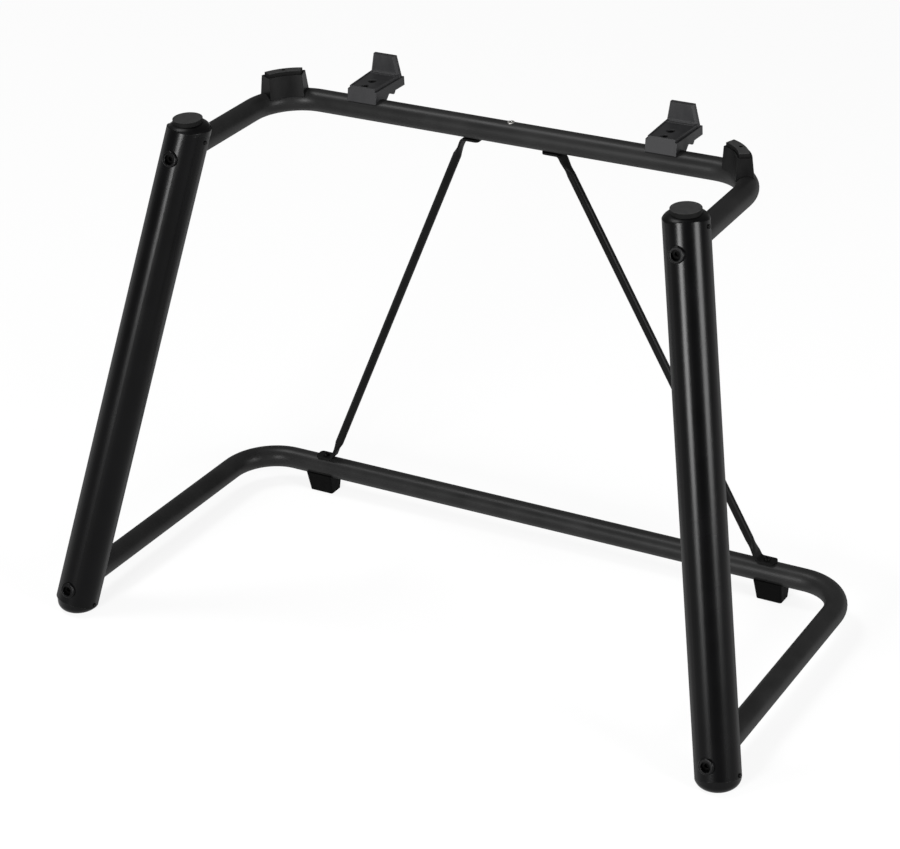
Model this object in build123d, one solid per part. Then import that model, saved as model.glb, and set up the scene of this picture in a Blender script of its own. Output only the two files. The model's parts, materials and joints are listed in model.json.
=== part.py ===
from build123d import *
import os
from math import cos, degrees, radians, sin, sqrt, tan

# Keyboard stand: two leaning leg tubes joined by an upper and a lower bent frame,
# with two braces, two stop brackets, two corner rests, and pads, caps and feet.
# Millimetres. +X is the stand's right, +Y its back, +Z up, and the floor is z = 0.
# The origin lies on the floor under the middle of the stand.

# Overall layout
lower_rail_height = 40.0
upper_rail_height = 648.0
rest_above_rail = 46.0
leg_y = -215.72
lower_rail_back = 437.5
upper_rail_back = 410.0
leg_half_spread_low = 499.5
leg_half_spread_high = 379.5
leg_lean_back = 180.0
arm_splay = 1.15

# Leg tubes
leg_diameter = 60.5
leg_wall = 1.8

# Bent frames
frame_diameter = 32.0
frame_wall = 1.6
bend_radius = 70.0

# Caps, pads and feet at the ends of the legs
cap_flat_radius = 17.0
cap_edge_radius = 15.0
cap_lip = 1.8
foot_flat_radius = 18.0
foot_edge_radius = 12.5
foot_lip = 1.8
foot_centre_height = 20.0
plug_wall = 2.5
pad_diameter = 41.0
pad_height = 7.0
pad_recess = 1.0
pad_edge = 0.6
cap_screw_diameter = 3.5
cap_screw_head = 6.0
cap_screw_head_height = 1.6
cap_screw_grip = 2.0
cap_screw_from_plug_end = 2.5
foot_screw_from_seam = 3.4

# Bolted joints between legs and frames
bolt_diameter = 8.0
bolt_head_diameter = 13.0
bolt_head_height = 8.0
bolt_socket_flats = 6.0
bolt_socket_depth = 4.0
bolt_grip = 16.0
cup_diameter = 22.5
cup_height = 3.0
cup_edge_radius = 2.0
cup_neck_diameter = 18.0
cup_neck_depth = 12.0
cup_seat_thickness = 3.0
spacer_wall = 2.5
arm_nut_length = 21.0

# Braces
brace_diameter = 12.0
brace_wall = 1.5
brace_low_x = 352.0
brace_high_x = 75.0
tab_thickness = 3.0
tab_width = 18.0
tab_length = 26.0
tab_corner_radius = 5.0
tab_bend_radius = 6.0
tab_screw_from_bend = 12.0
flat_length = 10.0
taper_length = 22.0

# Screws and rivet nuts that hold the smaller pieces
screw_diameter = 5.0
screw_head_diameter = 9.5
screw_head_height = 3.0
screw_crown_radius = 1.8
screw_socket_flats = 3.0
screw_socket_depth = 1.8
screw_grip = 9.0
rivet_nut_diameter = 8.0
rivet_nut_length = 12.0
rivet_flange_diameter = 10.0
rivet_flange_height = 0.8

# Stop brackets on the upper rail, measured from the rail's crest
bracket_x = 231.0
bracket_front_width = 46.0
bracket_back_width = 52.0
bracket_front = 12.0
bracket_front_lean = 4.8
bracket_back = 61.0
bracket_skirt = 3.5
bracket_heel = 5.5
bracket_heel_back = 16.0
bracket_tail_height = 0.8
bracket_ledge_height = 13.5
bracket_top_height = 18.0
bracket_shoulder = 3.0
bracket_tray_border = 2.0
bracket_tray_depth = 0.8
stop_front = 51.0
stop_thickness = 8.0
stop_height = 26.0
stop_base_width = 45.5
stop_top_width = 35.0
stop_bevel = 3.0
stop_fillet = 3.0
tooth_front = 29.5
tooth_width = 9.0
tooth_drop = 4.0
bracket_screw_seat = 6.0
instrument_hole_back = 19.5
instrument_hole_diameter = 7.0
instrument_recess_diameter = 12.0
instrument_recess_depth = 6.0

# Corner rests on the bends of the upper frame
rest_inset = 2.2
rest_width = 19.5
rest_start = 24.6
rest_end = 71.3
rest_draft = 4.5
rest_skirt = 7.0
rest_pad_height = 5.4
rest_pad_recess = 1.0
rest_pad_width = 14.0
rest_pad_inner_border = 2.0
rest_pad_end_border = 2.2
rest_pad_edge = 0.8
rest_screw_seat = 6.0
rest_pad_hole = 5.0

# Rear feet under the lower rail
rear_foot_x = 371.0
rear_foot_top_width = 43.0
rear_foot_bottom_width = 38.5
rear_foot_top_depth = 35.0
rear_foot_bottom_depth = 24.0
rear_foot_corner = 3.0
rear_foot_wrap = 7.0
rear_foot_recess = 8.0

# Clearances
plug_clearance = 0.1
plug_gap = 1.4
hole_clearance = 0.3
thread_clearance = 0.1
seat_clearance = 0.15
recess_clearance = 0.6

# Sizes that follow from those above
rest_height = upper_rail_height + rest_above_rail
leg_radius = leg_diameter / 2
leg_bore = leg_diameter - 2 * leg_wall
frame_radius = frame_diameter / 2
frame_bore = frame_diameter - 2 * frame_wall
screw_hole_diameter = screw_diameter + 2 * hole_clearance
screw_recess_diameter = screw_head_diameter + 2 * recess_clearance
bolt_hole_diameter = bolt_diameter + 2 * hole_clearance
rise = upper_rail_height - lower_rail_height
lower_rail_y = leg_y + lower_rail_back
upper_rail_y = leg_y + upper_rail_back
lean_in = (leg_half_spread_low - leg_half_spread_high) / rise
lean_back = leg_lean_back / rise
leg_direction = Vector(-lean_in, lean_back, 1).normalized()
leg_cosine = leg_direction.Z
leg_sine = sqrt(1 - leg_cosine**2)
upward = Vector(0, 0, 1)
rightward = Vector(1, 0, 0)
arm_direction = Vector(sin(radians(arm_splay)), -cos(radians(arm_splay)), 0)
cap_top = rest_height - pad_height + pad_recess
leg_end_high = cap_top - cap_lip - leg_radius * leg_sine
leg_end_low = foot_lip + leg_radius * leg_sine


def leg_axis(height):
    """The point of the right leg's axis at this height above the floor."""
    climb = height - lower_rail_height
    return Vector(leg_half_spread_low - lean_in * climb, leg_y + lean_back * climb, height)


def bar(start, direction, diameter, length):
    """A round bar from a point, in a direction."""
    plane = Plane(origin=start, z_dir=direction)
    return plane * Cylinder(diameter / 2, length, align=(Align.CENTER, Align.CENTER, Align.MIN))


def hexagon_socket(top, inward, flats, depth):
    """The hexagonal hole in a screw's head."""
    outline = RegularPolygon(flats / 2, 6, major_radius=False)
    return extrude(Plane(origin=top, z_dir=inward) * outline, depth)


def leg_bar(diameter, low, high):
    """A bar on the right leg's axis, cut square to it at two heights of the axis."""
    return bar(leg_axis(low), leg_direction, diameter, (high - low) / leg_cosine)


def leg_bar_at(diameter, height):
    """A bar on the right leg's axis that reaches well past a joint at this height."""
    return leg_bar(diameter, height - 2 * leg_diameter, height + 2 * leg_diameter)


def both_sides(name, right, left_before_mirror=None):
    """The right-hand piece and the left-hand one, which is a mirror image."""
    left = right if left_before_mirror is None else left_before_mirror
    return {f"right_{name}": right, f"left_{name}": mirror(left, about=Plane.YZ)}


def group(shapes):
    """Identical pieces, still separate solids, that share one node."""
    return Compound([solid for shape in shapes for solid in shape.solids()])


# The joint between a leg and an arm runs along the arm's axis, from the cup in front of the leg,
# through the spacer inside it, to the nut in the arm's end.

joint_tilt = leg_direction.dot(arm_direction)
joint_squareness = sqrt(1 - joint_tilt**2)
cup_direction = (arm_direction - leg_direction * joint_tilt).normalized()


def joint_point(height, direction):
    """Where the joint's axis leaves the leg tube, in front of it or behind it."""
    return leg_axis(height) + direction * (leg_radius / joint_squareness)


def bolt_cup(height):
    """A domed ring on the leg's front, with a neck through its wall that seats the bolt's head."""
    front = joint_point(height, arm_direction)
    dome = bar(front - cup_direction * leg_wall * 2, cup_direction, cup_diameter, cup_height + leg_wall * 2)
    crown = dome.edges().sort_by_distance(front + cup_direction * cup_diameter)[0]
    dome = fillet(crown, cup_edge_radius) - leg_bar_at(leg_diameter, height)
    inner_end = front - arm_direction * cup_neck_depth
    neck = bar(inner_end, arm_direction, cup_neck_diameter, leg_diameter)
    cup = dome + (neck & leg_bar_at(leg_diameter, height))
    seat = inner_end + arm_direction * cup_seat_thickness
    cup -= bar(seat, arm_direction, bolt_head_diameter + 2 * hole_clearance, leg_diameter)
    return cup - bar(inner_end, arm_direction, bolt_hole_diameter, cup_neck_depth)


def bolt_spacer(height):
    """A sleeve from the cup's neck to the leg's rear wall, so that the bolt can't crush the leg."""
    start = joint_point(height, arm_direction) - arm_direction * cup_neck_depth
    sleeve = bar(start, -arm_direction, bolt_hole_diameter + 2 * spacer_wall, 2 * leg_diameter)
    sleeve &= leg_bar_at(leg_bore, height)
    return sleeve - bar(start, -arm_direction, bolt_hole_diameter, 2 * leg_diameter)


def arm_nut(height):
    """A threaded plug fixed inside the end of an arm, hollowed at the front to fit the leg."""
    back = joint_point(height, -arm_direction)
    nut = bar(leg_axis(height), -arm_direction, frame_bore - 2 * plug_clearance,
              (back - leg_axis(height)).length + arm_nut_length)
    nut -= leg_bar_at(leg_diameter, height)
    return nut - bar(leg_axis(height), -arm_direction, bolt_diameter, 2 * leg_diameter)


def leg_bolt(height):
    """A cap-head bolt: its head in the cup, its end in the arm's nut."""
    under_head = joint_point(height, arm_direction) - arm_direction * (cup_neck_depth - cup_seat_thickness)
    end = joint_point(height, -arm_direction) - arm_direction * bolt_grip
    top = under_head + arm_direction * bolt_head_height
    head = bar(under_head, arm_direction, bolt_head_diameter, bolt_head_height)
    head -= hexagon_socket(top, -arm_direction, bolt_socket_flats, bolt_socket_depth)
    length = (under_head - end).length
    return head + bar(under_head, -arm_direction, bolt_diameter - 2 * thread_clearance, length)


# Legs and their ends

def plug_length(end_height, rail_height):
    """How far a cap's plug enters the tube: up to a small gap from the joint."""
    joint_reach = leg_radius * abs(joint_tilt) / joint_squareness + cup_neck_diameter / 2 / joint_squareness
    return abs(end_height - rail_height) / leg_cosine - joint_reach - plug_gap


top_plug = plug_length(leg_end_high, upper_rail_height)
foot_plug = plug_length(leg_end_low, lower_rail_height)
cap_screw_points = [
    leg_axis(leg_end_high) - leg_direction * (top_plug - cap_screw_from_plug_end),
    leg_axis(leg_end_low) + leg_direction * foot_screw_from_seam,
]


def cap_screw_direction(side):
    """Square to the leg, and as near as that allows to the leg's outer side or its inner side."""
    return (rightward - leg_direction * leg_direction.X).normalized() * side


def leg_tube(side):
    tube = leg_bar(leg_diameter, leg_end_low, leg_end_high) - leg_bar(
        leg_bore, leg_end_low - leg_diameter, leg_end_high + leg_diameter
    )
    for height in (lower_rail_height, upper_rail_height):
        tube -= bar(leg_axis(height), arm_direction, cup_neck_diameter + 2 * hole_clearance, leg_diameter)
        tube -= bar(leg_axis(height), -arm_direction, bolt_hole_diameter, leg_diameter)
    for point in cap_screw_points:
        tube -= bar(point, cap_screw_direction(side), cap_screw_diameter + 2 * hole_clearance, leg_diameter)
    return tube


def plug(start, inward, length):
    """The hollow spigot of a cap inside the leg tube."""
    outside = leg_bore - 2 * plug_clearance
    return bar(start, inward, outside, length) - bar(start, inward, outside - 2 * plug_wall, length)


def leg_top_cap(side):
    """A cap whose top is level, although the leg leans, with a recess for the round pad."""
    centre = leg_axis(leg_end_high)
    dome = Pos(centre.X, centre.Y, cap_top) * Cylinder(
        cap_flat_radius + cap_edge_radius, leg_diameter, align=(Align.CENTER, Align.CENTER, Align.MAX)
    )
    dome = fillet(dome.edges().group_by(Axis.Z)[-1], cap_edge_radius)
    head = dome & leg_bar(leg_diameter, leg_end_high, leg_end_high + leg_diameter)
    cap = head + plug(centre, -leg_direction, top_plug)
    recess = Vector(centre.X, centre.Y, cap_top - pad_recess)
    cap -= bar(recess, upward, pad_diameter + 2 * seat_clearance, pad_height)
    return cap - bar(cap_screw_points[0], cap_screw_direction(side), cap_screw_diameter, leg_diameter)


def top_pad():
    """The round pad that the instrument's front rests on."""
    centre = leg_axis(leg_end_high)
    pad = bar(Vector(centre.X, centre.Y, cap_top - pad_recess), upward, pad_diameter, pad_height)
    return fillet(pad.edges().group_by(Axis.Z)[-1], pad_edge)


def leg_foot(side):
    """A foot whose sole is level, although the leg leans."""
    centre = leg_axis(foot_centre_height)
    dome = Pos(centre.X, centre.Y, 0) * Cylinder(
        foot_flat_radius + foot_edge_radius, leg_diameter, align=(Align.CENTER, Align.CENTER, Align.MIN)
    )
    dome = fillet(dome.edges().group_by(Axis.Z)[0], foot_edge_radius)
    head = dome & leg_bar(leg_diameter, leg_end_low - leg_diameter, leg_end_low)
    foot = head + plug(leg_axis(leg_end_low), leg_direction, foot_plug)
    return foot - bar(cap_screw_points[1], cap_screw_direction(side), cap_screw_diameter, leg_diameter)


def cap_screws(side):
    """The screws through the leg's wall that hold its cap and its foot."""
    outward = cap_screw_direction(side)
    screws = []
    for point in cap_screw_points:
        under_head = point + outward * leg_radius
        head = bar(under_head - outward * cap_screw_head_height / 2, outward,
                   cap_screw_head, cap_screw_head_height * 1.5)
        head = fillet(head.edges().sort_by_distance(under_head + outward * leg_radius)[0],
                      cap_screw_head_height / 2)
        head -= leg_bar(leg_diameter, leg_end_low, leg_end_high)
        length = leg_wall + plug_clearance + plug_wall + cap_screw_grip
        shank = bar(under_head - outward * length, outward, cap_screw_diameter - 2 * thread_clearance, length)
        shank &= leg_bar(leg_diameter, leg_end_low, leg_end_high)
        screws.append(head + shank)
    return screws


# Bent frames

def frame_path(height, rail_y):
    """The middle line of a frame: from leg to leg, round two bends and along the rail."""
    start = leg_axis(height)
    corner = Vector(start.X - tan(radians(arm_splay)) * (rail_y - start.Y), rail_y, height)
    points = [start, corner, Vector(-corner.X, corner.Y, height), Vector(-start.X, start.Y, height)]
    return FilletPolyline(*points, radius=bend_radius)


def bent_rod(path, diameter):
    """A round rod along a path."""
    return sweep(Plane(origin=path @ 0, z_dir=path % 0) * Circle(diameter / 2), path=path)


upper_path = frame_path(upper_rail_height, upper_rail_y)
lower_path = frame_path(lower_rail_height, lower_rail_y)

# What is screwed to the rails: each place is a point of the rail's axis and a direction out of it

brace_direction = Vector(0, upper_rail_y - lower_rail_y, rise).normalized()
brace_plane = Plane(
    origin=(0, lower_rail_y, lower_rail_height), x_dir=rightward, z_dir=rightward.cross(brace_direction)
)
rail_distance = Vector(0, upper_rail_y - lower_rail_y, rise).length
bend_turn = 90 - arm_splay
bend_centre_x = (upper_path @ 0).X - tan(radians(arm_splay)) * (upper_rail_y - (upper_path @ 0).Y)
bend_centre_x -= bend_radius * tan(radians(bend_turn / 2))
bend_centre = Vector(bend_centre_x, upper_rail_y - bend_radius, upper_rail_height)
rest_radius = bend_radius - rest_inset
rest_middle = radians((rest_start + rest_end) / 2)
rest_place = bend_centre + Vector(cos(rest_middle), sin(rest_middle), 0) * rest_radius


def upper_rail(x):
    return Vector(x, upper_rail_y, upper_rail_height)


def lower_rail(x):
    return Vector(x, lower_rail_y, lower_rail_height)


def left_and_right(point, outward):
    """A place on the right of the stand and the one that mirrors it."""
    return [(point, outward), (Vector(-point.X, point.Y, point.Z), outward)]


centre_places = [(upper_rail(0), upward)]
bracket_places = left_and_right(upper_rail(bracket_x), upward)
brace_high_places = left_and_right(upper_rail(brace_high_x - tab_screw_from_bend), -brace_direction)
brace_low_places = left_and_right(lower_rail(brace_low_x + tab_screw_from_bend), brace_direction)
rest_places = left_and_right(rest_place, upward)
rear_foot_places = left_and_right(lower_rail(rear_foot_x), -upward)


def bent_frame(path, height, places):
    """A bent tube, hollowed at its ends to fit the legs and drilled for its rivet nuts."""
    leg = leg_bar_at(leg_diameter, height)
    tube = bent_rod(path, frame_diameter) - bent_rod(path, frame_bore)
    tube = tube - leg - mirror(leg, about=Plane.YZ)
    for point, outward in places:
        tube -= bar(point, outward, rivet_nut_diameter, frame_diameter)
    return tube


def rivet_nuts(places):
    """Threaded sleeves in a rail's wall, flush with its outside."""
    nuts = []
    for point, outward in places:
        start = point + outward * (frame_radius - rivet_nut_length)
        rail = bar(point - rightward * frame_diameter, rightward, frame_diameter, 2 * frame_diameter)
        nut = bar(start, outward, rivet_nut_diameter, frame_diameter) & rail
        nuts.append(nut - bar(start, outward, screw_diameter, frame_diameter))
    return nuts


def centre_rivet_nut():
    """The free threaded hole in the middle of the upper rail, whose sleeve has a thin flange."""
    point, outward = centre_places[0]
    rail = bar(point - rightward * frame_diameter, rightward, frame_diameter, 2 * frame_diameter)
    crest = point + outward * frame_radius
    flange = bar(crest - outward * rivet_flange_height, outward, rivet_flange_diameter, 2 * rivet_flange_height)
    nut = rivet_nuts(centre_places)[0] + (flange - rail)
    return nut - bar(point, outward, screw_diameter, frame_diameter)


def rest_rivet_nuts():
    """The sleeves under the corner rests, level on top because the bend curves away there."""
    level = sqrt(frame_radius**2 - (rest_inset + rivet_nut_diameter / 2) ** 2)
    nuts = []
    for point, outward in rest_places:
        start = point + outward * (level - rivet_nut_length)
        nut = bar(start, outward, rivet_nut_diameter, rivet_nut_length)
        nuts.append(nut - bar(start, outward, screw_diameter, rivet_nut_length))
    return nuts


def screws(places, seat_height):
    """Button-head screws whose heads seat at this height above the rail's axis."""
    made = []
    for point, outward in places:
        seat = point + outward * seat_height
        top = seat + outward * screw_head_height
        head = bar(seat, outward, screw_head_diameter, screw_head_height)
        head = fillet(head.edges().sort_by_distance(top + outward * screw_head_diameter)[0], screw_crown_radius)
        head -= hexagon_socket(top, -outward, screw_socket_flats, screw_socket_depth)
        length = seat_height - frame_radius + screw_grip
        made.append(head + bar(seat, -outward, screw_diameter - 2 * thread_clearance, length))
    return made


# Braces, drawn in the plane through both rails: x to the right, y from the lower rail to the upper

def flattened_end(bend, other_bend, side):
    """A tab that lies along the rail, its bend, and a flat length in line with the rod."""
    towards = (other_bend - bend).normalized()
    tip = bend + rightward * (side * tab_length)
    line = FilletPolyline(tip, bend, bend + towards * flat_length, radius=tab_bend_radius)
    section = Plane(origin=tip, x_dir=(0, 0, 1), z_dir=line % 0) * Rectangle(tab_width, tab_thickness)
    end = sweep(section, path=line)
    corners = end.edges().filter_by(Axis.Y).group_by(Axis.X)[-1 if side > 0 else 0]
    end = fillet(corners, tab_corner_radius)
    screw = bend + rightward * (side * tab_screw_from_bend)
    return end - Pos(*screw) * Rot(90, 0, 0) * Cylinder(screw_hole_diameter / 2, 2 * tab_thickness)


def brace():
    above_rail = frame_radius + tab_thickness / 2
    low = Vector(brace_low_x, above_rail)
    high = Vector(brace_high_x, rail_distance - above_rail)
    piece = flattened_end(low, high, 1) + flattened_end(high, low, -1)
    for bend, other_bend in ((low, high), (high, low)):
        towards = (other_bend - bend).normalized()
        flat = Plane(origin=bend + towards * flat_length, x_dir=(0, 0, 1), z_dir=towards)
        piece += loft([flat * Rectangle(tab_width, tab_thickness),
                       flat.offset(taper_length) * Circle(brace_diameter / 2)])
    climb = (high - low).normalized()
    start = low + climb * (flat_length + taper_length)
    length = (high - low).length - 2 * (flat_length + taper_length)
    rod = bar(start, climb, brace_diameter, length) - bar(start, climb, brace_diameter - 2 * brace_wall, length)
    return brace_plane * (piece + rod)


# Stop brackets, drawn about the point of the rail's crest that the bracket is screwed to

def bracket_plan(inset, front, back, low, high):
    """An upright block that widens to the back as the bracket does, in from its sides by an inset."""
    spread = (bracket_back_width - bracket_front_width) / (bracket_front + bracket_back) / 2

    def half_width(y):
        return bracket_front_width / 2 - inset + spread * (y + bracket_front)

    outline = Polyline(
        (-half_width(front), front), (half_width(front), front),
        (half_width(back), back), (-half_width(back), back), close=True
    )
    return Pos(0, 0, low) * extrude(make_face(outline), high - low)


def bracket_profile(*points):
    """A side view of the bracket, y and z, drawn out to both sides past its edges."""
    return extrude(Plane.YZ * make_face(Polyline(*points, close=True)), bracket_back_width, both=True)


def bracket_front_at(height):
    """How far forward the bracket's leaning front face is at a height above the crest."""
    share = (height + bracket_skirt) / (bracket_top_height + bracket_skirt)
    return -bracket_front + bracket_front_lean * share


def bracket_body():
    stop_back = stop_front + stop_thickness
    lower = bracket_profile(
        (-bracket_front, -bracket_skirt),
        (bracket_heel_back - bracket_heel, -bracket_heel),
        (bracket_heel_back, -bracket_heel),
        (bracket_heel_back + bracket_heel + bracket_tail_height, bracket_tail_height),
        (tooth_front, bracket_tail_height),
        (tooth_front + tooth_width / 3, bracket_tail_height - tooth_drop),
        (tooth_front + 2 * tooth_width / 3, bracket_tail_height - tooth_drop),
        (tooth_front + tooth_width, bracket_tail_height),
        (bracket_back, bracket_tail_height),
        (bracket_back, bracket_ledge_height),
        (bracket_front_at(bracket_ledge_height), bracket_ledge_height),
    )
    lower &= bracket_plan(0, -bracket_front, bracket_back, -bracket_top_height, bracket_top_height)
    upper = bracket_profile(
        (bracket_front_at(bracket_ledge_height), bracket_ledge_height),
        (stop_back, bracket_ledge_height),
        (stop_back, bracket_top_height),
        (bracket_front_at(bracket_top_height), bracket_top_height),
    )
    upper &= bracket_plan(bracket_shoulder, -bracket_front, stop_back, 0, bracket_top_height)
    inset = bracket_shoulder + bracket_tray_border
    tray = bracket_plan(inset, bracket_front_at(bracket_top_height) + bracket_tray_border,
                        stop_front - bracket_tray_border - stop_fillet,
                        bracket_top_height - bracket_tray_depth, bracket_top_height)
    return lower + upper - tray


def bracket_stop():
    """The upright plate at the back that keeps the instrument from sliding off."""
    base = bracket_ledge_height
    slope = (stop_base_width - stop_top_width) / 2 / stop_height
    base_half = stop_base_width / 2 + slope * (bracket_top_height - base)
    top = bracket_top_height + stop_height
    outline = Polyline(
        (-base_half, base), (base_half, base), (stop_top_width / 2, top), (-stop_top_width / 2, top), close=True
    )
    plate = extrude(Plane.XZ.offset(-stop_front) * make_face(outline), -stop_thickness)
    front_sides = plate.edges().group_by(Axis.Y)[0].filter_by(Axis.X, reverse=True)
    return chamfer(front_sides, stop_bevel)


def bracket():
    block = bracket_body() + bracket_stop()
    corner = block.edges().filter_by(Axis.X).sort_by_distance((0, stop_front, bracket_top_height))[0]
    block = fillet(corner, stop_fillet)
    block -= bar(Vector(-bracket_back, 0, -frame_radius), rightward, frame_diameter, 2 * bracket_back)
    crest = Vector(0, 0, 0)
    block -= bar(crest - upward * bracket_heel, upward, screw_hole_diameter, 2 * bracket_top_height)
    block -= bar(crest + upward * bracket_screw_seat, upward, screw_recess_diameter, bracket_top_height)
    hole = Vector(0, instrument_hole_back, -bracket_top_height)
    block -= bar(hole, upward, instrument_hole_diameter, 3 * bracket_top_height)
    recess = Vector(0, instrument_hole_back, bracket_top_height - instrument_recess_depth)
    block -= bar(recess, upward, instrument_recess_diameter, bracket_top_height)
    return Pos(bracket_x, upper_rail_y, upper_rail_height + frame_radius) * block


# Corner rests, drawn about the centre of the right bend

rest_inner = rest_radius - rest_width / 2
rest_outer = rest_radius + rest_width / 2
rest_ledge = rest_height - rest_pad_height
rest_bottom = upper_rail_height + frame_radius - rest_skirt


def sector(inner, outer, start, end, height):
    """A level piece of a ring between two radii and two angles, at a height."""
    ends = []
    for angle in (start, end):
        ray = Vector(cos(radians(angle)), sin(radians(angle)))
        ends.append(Line(ray * inner, ray * outer))
    arcs = [CenterArc((0, 0), radius, start, end - start) for radius in (inner, outer)]
    return Pos(bend_centre.X, bend_centre.Y, height) * make_face(ends + arcs)


def corner_rest():
    """A block that straddles the bend, wider at its foot, with a recess for its rubber pad."""
    flare = (rest_ledge - rest_bottom) * tan(radians(rest_draft))
    turn = degrees(flare / rest_radius)
    block = loft([
        sector(rest_inner - flare, rest_outer + flare, rest_start - turn, rest_end + turn, rest_bottom),
        sector(rest_inner, rest_outer, rest_start, rest_end, rest_ledge),
    ])
    block -= bent_rod(upper_path, frame_diameter)
    floor = rest_ledge - rest_pad_recess
    block -= extrude(rest_pad_outline(seat_clearance, floor), rest_pad_recess)
    block -= bar(rest_place, upward, screw_hole_diameter, rest_height)
    seat = rest_place + upward * (frame_radius + rest_screw_seat)
    return block - bar(seat, upward, screw_recess_diameter, rest_height)


def rest_pad_outline(margin, height):
    """The pad's outline, grown by a margin on every side."""
    inner = rest_inner + rest_pad_inner_border
    turn = degrees(margin / rest_radius)
    start = rest_start + rest_pad_end_border
    end = rest_end - rest_pad_end_border
    return sector(inner - margin, inner + rest_pad_width + margin, start - turn, end + turn, height)


def rest_pad():
    """The raised rubber strip that the instrument's back rests on."""
    floor = rest_ledge - rest_pad_recess
    pad = extrude(rest_pad_outline(0, floor), rest_height - floor)
    pad = fillet(pad.edges().group_by(Axis.Z)[-1], rest_pad_edge)
    return pad - bar(rest_place, upward, rest_pad_hole, rest_height)


# Rear feet

def rear_foot():
    """A block under the lower rail that narrows to the floor, with its screw's recess in its sole."""
    top = lower_rail_height - frame_radius + rear_foot_wrap
    foot = loft([
        Pos(rear_foot_x, lower_rail_y, 0)
        * RectangleRounded(rear_foot_bottom_width, rear_foot_bottom_depth, rear_foot_corner),
        Pos(rear_foot_x, lower_rail_y, top)
        * RectangleRounded(rear_foot_top_width, rear_foot_top_depth, rear_foot_corner),
    ])
    foot -= bar(lower_rail(rear_foot_x - rear_foot_top_width), rightward, frame_diameter, 2 * rear_foot_top_width)
    foot -= bar(lower_rail(rear_foot_x), -upward, screw_hole_diameter, lower_rail_height)
    return foot - bar(Vector(rear_foot_x, lower_rail_y, 0), upward, screw_recess_diameter, rear_foot_recess)


# The stand

nodes = {
    "upper_frame": bent_frame(
        upper_path, upper_rail_height, centre_places + bracket_places + brace_high_places + rest_places
    ),
    "lower_frame": bent_frame(lower_path, lower_rail_height, brace_low_places + rear_foot_places),
    **both_sides("leg_tube", leg_tube(1), leg_tube(-1)),
    **both_sides("leg_top_cap", leg_top_cap(1), leg_top_cap(-1)),
    **both_sides("top_pad", top_pad()),
    **both_sides("leg_foot", leg_foot(1), leg_foot(-1)),
    **both_sides("brace", brace()),
    **both_sides("bracket", bracket()),
    **both_sides("corner_rest", corner_rest()),
    **both_sides("corner_rest_pad", rest_pad()),
    **both_sides("rear_foot", rear_foot()),
    "centre_rivet_nut": centre_rivet_nut(),
    "bracket_rivet_nuts": group(rivet_nuts(bracket_places)),
    "brace_rivet_nuts": group(rivet_nuts(brace_high_places + brace_low_places)),
    "corner_rest_rivet_nuts": group(rest_rivet_nuts()),
    "rear_foot_rivet_nuts": group(rivet_nuts(rear_foot_places)),
    "bracket_screws": group(screws(bracket_places, frame_radius + bracket_screw_seat)),
    "brace_screws": group(screws(brace_high_places + brace_low_places, frame_radius + tab_thickness)),
    "corner_rest_screws": group(screws(rest_places, frame_radius + rest_screw_seat)),
    "rear_foot_screws": group(screws(rear_foot_places, lower_rail_height - rear_foot_recess)),
}

left_cap_screws = [mirror(screw, about=Plane.YZ) for screw in cap_screws(-1)]
nodes["cap_screws"] = group(cap_screws(1) + left_cap_screws)
bolts = []
for rail_name, rail_height in (("upper", upper_rail_height), ("lower", lower_rail_height)):
    bolts += [leg_bolt(rail_height), mirror(leg_bolt(rail_height), about=Plane.YZ)]
    for name, make in (("bolt_cup", bolt_cup), ("bolt_spacer", bolt_spacer), ("arm_nut", arm_nut)):
        nodes.update(both_sides(f"{rail_name}_{name}", make(rail_height)))
nodes["leg_bolts"] = group(bolts)

os.makedirs("parts", exist_ok=True)
for name, shape in nodes.items():
    export_step(shape, f"parts/{name}.step")
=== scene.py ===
import bpy
import json
import math
from mathutils import Matrix, Vector

# A bolted keyboard stand: black powder-coated tubes, moulded plastic caps and brackets, rubber pads.
# Metres. +X is the stand's right, +Y its back, +Z up, and the floor is z = 0.

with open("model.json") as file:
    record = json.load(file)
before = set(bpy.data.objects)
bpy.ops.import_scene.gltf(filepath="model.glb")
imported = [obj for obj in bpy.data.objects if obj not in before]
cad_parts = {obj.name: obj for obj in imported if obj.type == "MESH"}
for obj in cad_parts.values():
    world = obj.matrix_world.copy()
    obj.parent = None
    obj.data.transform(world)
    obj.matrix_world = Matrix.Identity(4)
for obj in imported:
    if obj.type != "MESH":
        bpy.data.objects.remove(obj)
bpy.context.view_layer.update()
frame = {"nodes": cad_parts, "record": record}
nodes = frame["nodes"]
scene = bpy.context.scene
print("loaded", len(nodes), "nodes")

# Camera

cameraSettings = {
    "place": (1.9199, -3.0689, 2.1909),
    "azimuth": 32.08,      # degrees, turned from looking along +Y
    "elevation": 27.62,    # degrees above the horizon
    "roll": -3.41,         # degrees, anticlockwise seen from behind the camera
    "lens": 120.55,        # millimetres on a sensor 36 mm wide
}


def makeCamera(settings):
    azimuth, elevation, roll = (math.radians(settings[key]) for key in ("azimuth", "elevation", "roll"))
    back = Vector((
        math.sin(azimuth) * math.cos(elevation),
        -math.cos(azimuth) * math.cos(elevation),
        math.sin(elevation),
    ))
    level = Vector((math.cos(azimuth), math.sin(azimuth), 0))
    upright = back.cross(level)
    right = level * math.cos(roll) + upright * math.sin(roll)
    up = upright * math.cos(roll) - level * math.sin(roll)
    data = bpy.data.cameras.new("camera")
    data.lens = settings["lens"]
    data.sensor_width = 36
    data.clip_end = 100
    camera = bpy.data.objects.new("camera", data)
    scene.collection.objects.link(camera)
    turn = Matrix((right, up, back)).transposed().to_4x4()
    camera.matrix_world = Matrix.Translation(settings["place"]) @ turn
    scene.camera = camera


makeCamera(cameraSettings)
scene.view_settings.view_transform = "Standard"
print("camera placed")

# Node tree helpers


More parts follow.
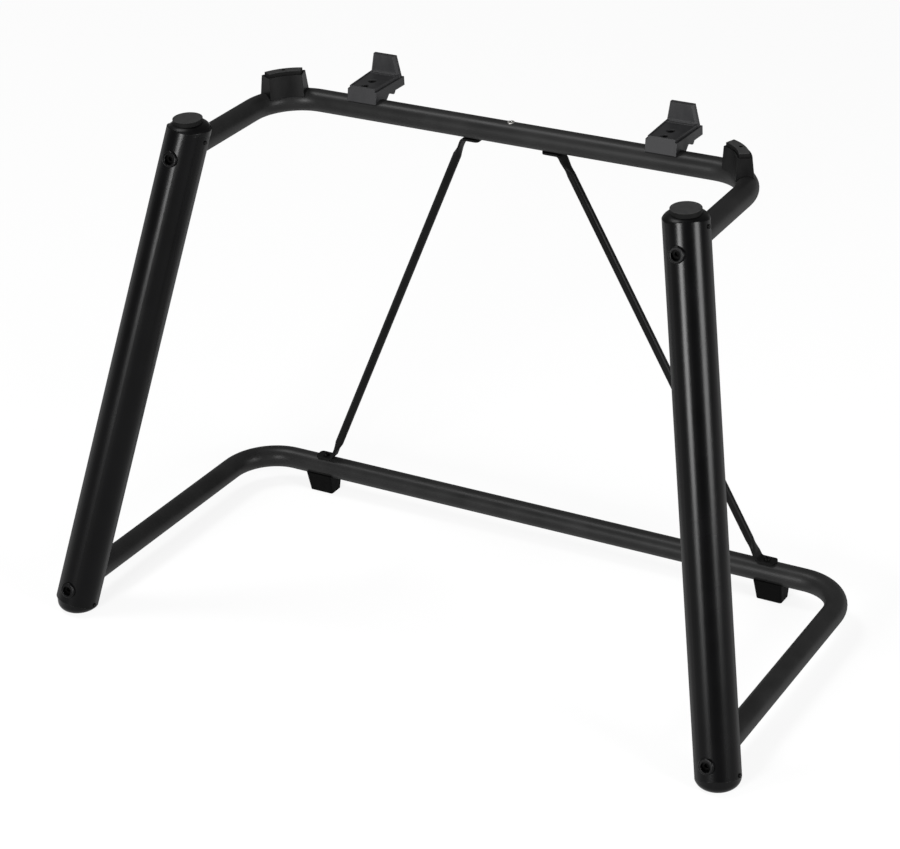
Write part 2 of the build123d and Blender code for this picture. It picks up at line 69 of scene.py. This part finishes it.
# Gives the tree, its surface shader, and short makers of nodes and links.
def newMaterial(name):
    material = bpy.data.materials.new(name)
    material.use_nodes = True
    tree = material.node_tree
    surface = tree.nodes["Principled BSDF"]

    def add(kind, **settings):
        node = tree.nodes.new(kind)
        for key, value in settings.items():
            if hasattr(node, key):
                setattr(node, key, value)
            else:
                node.inputs[key.replace("_", " ")].default_value = value
        return node

    def join(output, target):
        tree.links.new(output, target)

    return material, surface, add, join


# A noise pattern on Object coordinates whose features are about this many metres across.
def noiseFrom(add, join, size, detail=2.0, stretch=(1, 1, 1)):
    place = add("ShaderNodeTexCoord")
    mapping = add("ShaderNodeMapping")
    mapping.inputs["Scale"].default_value = tuple(1 / size / s for s in stretch)
    noise = add("ShaderNodeTexNoise")
    noise.inputs["Scale"].default_value = 1.0
    noise.inputs["Detail"].default_value = detail
    join(place.outputs["Object"], mapping.inputs["Vector"])
    join(mapping.outputs["Vector"], noise.inputs["Vector"])
    return noise


# Maps a pattern's usual range onto a range of values.
def spread(add, join, source, low, high, fromLow=0.3, fromHigh=0.7):
    mapped = add("ShaderNodeMapRange")
    for key, value in (("From Min", fromLow), ("From Max", fromHigh), ("To Min", low), ("To Max", high)):
        mapped.inputs[key].default_value = value
    join(source, mapped.inputs["Value"])
    return mapped.outputs["Result"]


# Normals that roll over sharp edges, as a coat of paint or a moulding radius does.
def roundedNormal(add, join, radius):
    bevel = add("ShaderNodeBevel")
    bevel.samples = 6
    bevel.inputs["Radius"].default_value = radius
    return bevel.outputs["Normal"]


# Stacks bumps, each a pattern with its depth in metres, on a normal.
def bumped(add, join, heights, normal):
    for pattern, depth in heights:
        bump = add("ShaderNodeBump")
        bump.inputs["Strength"].default_value = 1.0
        bump.inputs["Distance"].default_value = depth
        join(pattern, bump.inputs["Height"])
        join(normal, bump.inputs["Normal"])
        normal = bump.outputs["Normal"]
    return normal


# A colour that a pattern moves between two.
def colourBetween(add, join, factor, first, second):
    mix = add("ShaderNodeMix", data_type="RGBA")
    mix.inputs["A"].default_value = (*first, 1)
    mix.inputs["B"].default_value = (*second, 1)
    join(factor, mix.inputs["Factor"])
    return mix.outputs["Result"]


# Finishes. Sizes of patterns, depths of bumps and radii of edges are in metres.

slantRange = (0.45, 0.95)      # how far a surface turns away while its gloss fades
legPaintValues = {
    "dark": (0.0005, 0.0005, 0.0006), "light": (0.0011, 0.0011, 0.0013),
    "roughness": (0.25, 0.28), "slantRoughness": 0.35, "specular": 0.11, "patch": 0.05,
    "peel": 0.0016, "peelDepth": 0.0000015, "grain": 0.00035, "grainDepth": 0.0000002, "edge": 0.0006,
}
framePaintValues = {
    "dark": (0.0095, 0.0095, 0.0095), "light": (0.0150, 0.0150, 0.0150),
    "roughness": (0.36, 0.42), "slantRoughness": 0.30, "specular": 0.12, "patch": 0.05,
    "peel": 0.0012, "peelDepth": 0.000010, "grain": 0.0003, "grainDepth": 0.000003, "edge": 0.0006,
}
bracePaintValues = {
    **framePaintValues, "dark": (0.0025, 0.0025, 0.0025), "light": (0.0050, 0.0050, 0.0050),
    "specular": 0.06,
}


# Powder coat: a soft orange peel, a fine grain, and slow changes of gloss and of depth of colour.
def powderCoat(name, values):
    material, surface, add, join = newMaterial(name)
    slow = noiseFrom(add, join, values["patch"], 3)
    peel = noiseFrom(add, join, values["peel"], 1)
    grain = noiseFrom(add, join, values["grain"], 2)
    patches = spread(add, join, slow.outputs["Fac"], 0, 1)
    colour = colourBetween(add, join, patches, values["dark"], values["light"])
    join(colour, surface.inputs["Base Color"])
    # The coat looks duller where the eye meets it at a slant
    slant = add("ShaderNodeLayerWeight")
    slant.inputs["Blend"].default_value = 0.5
    duller = add("ShaderNodeMath", operation="MULTIPLY_ADD")
    join(spread(add, join, slant.outputs["Facing"], 0, 1, *slantRange), duller.inputs[0])
    duller.inputs[1].default_value = values["slantRoughness"]
    join(spread(add, join, slow.outputs["Fac"], *values["roughness"]), duller.inputs[2])
    join(duller.outputs[0], surface.inputs["Roughness"])
    surface.inputs["Specular IOR Level"].default_value = values["specular"]
    heights = (
        (peel.outputs["Fac"], values["peelDepth"]),
        (grain.outputs["Fac"], values["grainDepth"]),
    )
    join(bumped(add, join, heights, roundedNormal(add, join, values["edge"])), surface.inputs["Normal"])
    return material


capPlasticValues = {
    "dark": (0.0010, 0.0010, 0.0011), "light": (0.0020, 0.0020, 0.0022),
    "roughness": (0.30, 0.38), "specular": 0.11, "flow": 0.012,
    "texture": 0.0007, "textureDepth": 0.000012, "edge": 0.0012,
}
bracketPlasticValues = {
    "dark": (0.014, 0.014, 0.015), "light": (0.020, 0.020, 0.021),
    "roughness": (0.48, 0.58), "specular": 0.20, "flow": 0.012,
    "texture": 0.0006, "textureDepth": 0.000020, "edge": 0.0009,
}
restPlasticValues = {
    "dark": (0.0022, 0.0022, 0.0022), "light": (0.0042, 0.0042, 0.0042),
    "roughness": (0.42, 0.52), "specular": 0.10, "flow": 0.012,
    "texture": 0.0006, "textureDepth": 0.000020, "edge": 0.0009,
}


# Moulded plastic: spark-eroded cells, a little flow mottling, and edges with a moulding radius.
def mouldedPlastic(name, values):
    material, surface, add, join = newMaterial(name)
    flow = noiseFrom(add, join, values["flow"], 4, (1, 1, 2.5))
    place = add("ShaderNodeTexCoord")
    cells = add("ShaderNodeTexVoronoi", feature="SMOOTH_F1")
    cells.inputs["Scale"].default_value = 1 / values["texture"]
    join(place.outputs["Object"], cells.inputs["Vector"])
    mottling = spread(add, join, flow.outputs["Fac"], 0, 1)
    colour = colourBetween(add, join, mottling, values["dark"], values["light"])
    join(colour, surface.inputs["Base Color"])
    join(spread(add, join, flow.outputs["Fac"], *values["roughness"]), surface.inputs["Roughness"])
    surface.inputs["Specular IOR Level"].default_value = values["specular"]
    heights = ((cells.outputs["Distance"], values["textureDepth"]),)
    join(bumped(add, join, heights, roundedNormal(add, join, values["edge"])), surface.inputs["Normal"])
    return material


# side is a painted shade for faces that do not turn up, in this table and the next
padRubberValues = {
    "side": (0.0020, 0.0020, 0.0020), "dark": (0.028, 0.028, 0.028), "light": (0.038, 0.038, 0.038),
    "roughness": (0.66, 0.80), "specular": 0.12, "bloom": 0.007,
    "grain": 0.0005, "grainDepth": 0.000040, "edge": 0.0006,
}
footRubberValues = {
    "side": (0.0008, 0.0008, 0.0008), "dark": (0.0018, 0.0018, 0.0018), "light": (0.0032, 0.0032, 0.0032),
    "roughness": (0.60, 0.72), "specular": 0.04, "bloom": 0.007,
    "grain": 0.0005, "grainDepth": 0.000040, "edge": 0.0008,
}
paintedLightRange = (0.35, 0.9)      # how far a surface turns up while the painted top light takes over from the painted side shade


# Rubber: a dull bloom in patches over a fine pebbled skin, with painted light and shade: faces turned up
# keep the paler patch colours, and the sides take a dark painted shade.
def mouldedRubber(name, values):
    material, surface, add, join = newMaterial(name)
    bloom = noiseFrom(add, join, values["bloom"], 5)
    grain = noiseFrom(add, join, values["grain"], 3)
    patches = spread(add, join, bloom.outputs["Fac"], 0, 1)
    colour = colourBetween(add, join, patches, values["dark"], values["light"])
    # Painted shade and light: the upward part of the surface normal gives the sides the dark side colour
    # and the tops the patch colours
    facing = add("ShaderNodeNewGeometry")
    split = add("ShaderNodeSeparateXYZ")
    join(facing.outputs["Normal"], split.inputs["Vector"])
    paintedLightMask = spread(add, join, split.outputs["Z"], 0, 1, *paintedLightRange)
    paintedShadeMix = add("ShaderNodeMix", data_type="RGBA")
    paintedShadeMix.inputs["A"].default_value = (*values["side"], 1)
    join(colour, paintedShadeMix.inputs["B"])
    join(paintedLightMask, paintedShadeMix.inputs["Factor"])
    join(paintedShadeMix.outputs["Result"], surface.inputs["Base Color"])
    join(spread(add, join, bloom.outputs["Fac"], *values["roughness"]), surface.inputs["Roughness"])
    surface.inputs["Specular IOR Level"].default_value = values["specular"]
    heights = ((grain.outputs["Fac"], values["grainDepth"]),)
    join(bumped(add, join, heights, roundedNormal(add, join, values["edge"])), surface.inputs["Normal"])
    return material


screwValues = {
    "colour": (0.0008, 0.0008, 0.0009), "worn": (0.0024, 0.0023, 0.0022),
    "roughness": (0.34, 0.50), "metallic": 0.0, "specular": 0.06,
    "patch": 0.003, "marks": 0.0002, "markDepth": 0.000008, "edge": 0.0003,
}
steelValues = {
    "colour": (0.50, 0.49, 0.47), "worn": (0.68, 0.67, 0.64),
    "roughness": (0.22, 0.42), "metallic": 1.0, "specular": 0.50,
    "patch": 0.003, "marks": 0.0002, "markDepth": 0.000008, "edge": 0.0003,
}


# Plated or blackened steel: fine turning marks, a rubbed tone in patches, and softened edges.
def metalFinish(name, values):
    material, surface, add, join = newMaterial(name)
    rubbed = noiseFrom(add, join, values["patch"], 4)
    marks = noiseFrom(add, join, values["marks"], 2, (6, 6, 1))
    patches = spread(add, join, rubbed.outputs["Fac"], 0, 1)
    colour = colourBetween(add, join, patches, values["colour"], values["worn"])
    join(colour, surface.inputs["Base Color"])
    join(spread(add, join, rubbed.outputs["Fac"], *values["roughness"]), surface.inputs["Roughness"])
    surface.inputs["Metallic"].default_value = values["metallic"]
    surface.inputs["Specular IOR Level"].default_value = values["specular"]
    heights = ((marks.outputs["Fac"], values["markDepth"]),)
    join(bumped(add, join, heights, roundedNormal(add, join, values["edge"])), surface.inputs["Normal"])
    return material


finishes = {
    "leg_paint": powderCoat("legPaint", legPaintValues),
    "frame_paint": powderCoat("framePaint", framePaintValues),
    "cap_plastic": mouldedPlastic("capPlastic", capPlasticValues),
    "bracket_plastic": mouldedPlastic("bracketPlastic", bracketPlasticValues),
    "pad_rubber": mouldedRubber("padRubber", padRubberValues),
    "black_screw": metalFinish("blackScrew", screwValues),
    "bare_steel": metalFinish("bareSteel", steelValues),
}

# Pieces of a darker mix than the others of their kind
darkerFinishes = {
    "brace": powderCoat("bracePaint", bracePaintValues),
    "corner_rest": mouldedPlastic("restPlastic", restPlasticValues),
    "rear_foot": mouldedRubber("footRubber", footRubberValues),
}

for subpart in frame["record"]["subparts"]:
    name = subpart["node"]
    finish = darkerFinishes.get(name.split("_", 1)[1], finishes[subpart["material_slot"]])
    mesh = nodes[name].data
    mesh.materials.clear()
    mesh.materials.append(finish)
print("finishes on", len(nodes), "nodes")

# Studio

studioValues = {
    "floorColour": (0.93, 0.93, 0.93), "bounceColour": (0.30, 0.30, 0.30),
    "floorSize": 40.0, "floorGlow": 0.85,
    "worldColour": (1.0, 1.0, 1.0), "worldStrength": 0.26,
    "lamps": {
        # place, what it points at, width and height in metres, power in watts
        "frontSoftbox": ((-0.30, -4.05, 1.25), (0.0, -0.1, 0.5), (1.2, 1.1), 205),
        "sideSoftbox": ((3.3, -0.70, 1.15), (0.3, -0.1, 0.5), (1.1, 1.1), 110),
        "overheadSoftbox": ((-4.3, -0.45, 9.0), (0.0, 0.1, 0.3), (2.6, 2.6), 450),
    },
}


def makeStudio(values):
    floorMesh = bpy.data.meshes.new("floor")
    half = values["floorSize"] / 2
    corners = [(-half, -half, 0), (half, -half, 0), (half, half, 0), (-half, half, 0)]
    floorMesh.from_pydata(corners, [], [(0, 1, 2, 3)])
    floor = bpy.data.objects.new("floor", floorMesh)
    scene.collection.objects.link(floor)
    material, surface, add, join = newMaterial("floorPaper")
    # The paper looks white where it is seen, also in a reflection, and throws less light up
    path = add("ShaderNodeLightPath")
    seen = path.outputs["Is Camera Ray"]
    for kind in ("Is Glossy Ray", "Is Transmission Ray"):
        either = add("ShaderNodeMath", operation="MAXIMUM")
        join(seen, either.inputs[0])
        join(path.outputs[kind], either.inputs[1])
        seen = either.outputs[0]
    colour = colourBetween(add, join, seen, values["bounceColour"], values["floorColour"])
    join(colour, surface.inputs["Base Color"])
    share = add("ShaderNodeMath", operation="MULTIPLY")
    share.inputs[1].default_value = values["floorGlow"]
    join(seen, share.inputs[0])
    glow = add("ShaderNodeEmission")
    blend = add("ShaderNodeMixShader")
    join(share.outputs[0], blend.inputs["Fac"])
    join(surface.outputs["BSDF"], blend.inputs[1])
    join(glow.outputs["Emission"], blend.inputs[2])
    join(blend.outputs["Shader"], material.node_tree.nodes["Material Output"].inputs["Surface"])
    surface.inputs["Roughness"].default_value = 0.9
    surface.inputs["Specular IOR Level"].default_value = 0.0
    floorMesh.materials.append(material)

    world = bpy.data.worlds.new("studioWorld")
    world.use_nodes = True
    background = world.node_tree.nodes["Background"]
    background.inputs["Color"].default_value = (*values["worldColour"], 1)
    background.inputs["Strength"].default_value = values["worldStrength"]
    scene.world = world

    for name, (place, target, size, power) in values["lamps"].items():
        data = bpy.data.lights.new(name, "AREA")
        data.shape = "RECTANGLE"
        data.size, data.size_y = size
        data.energy = power
        lamp = bpy.data.objects.new(name, data)
        scene.collection.objects.link(lamp)
        lamp.location = place
        lamp.rotation_mode = "QUATERNION"
        lamp.rotation_quaternion = (Vector(target) - Vector(place)).to_track_quat("-Z", "Y")


makeStudio(studioValues)
print("studio lit")
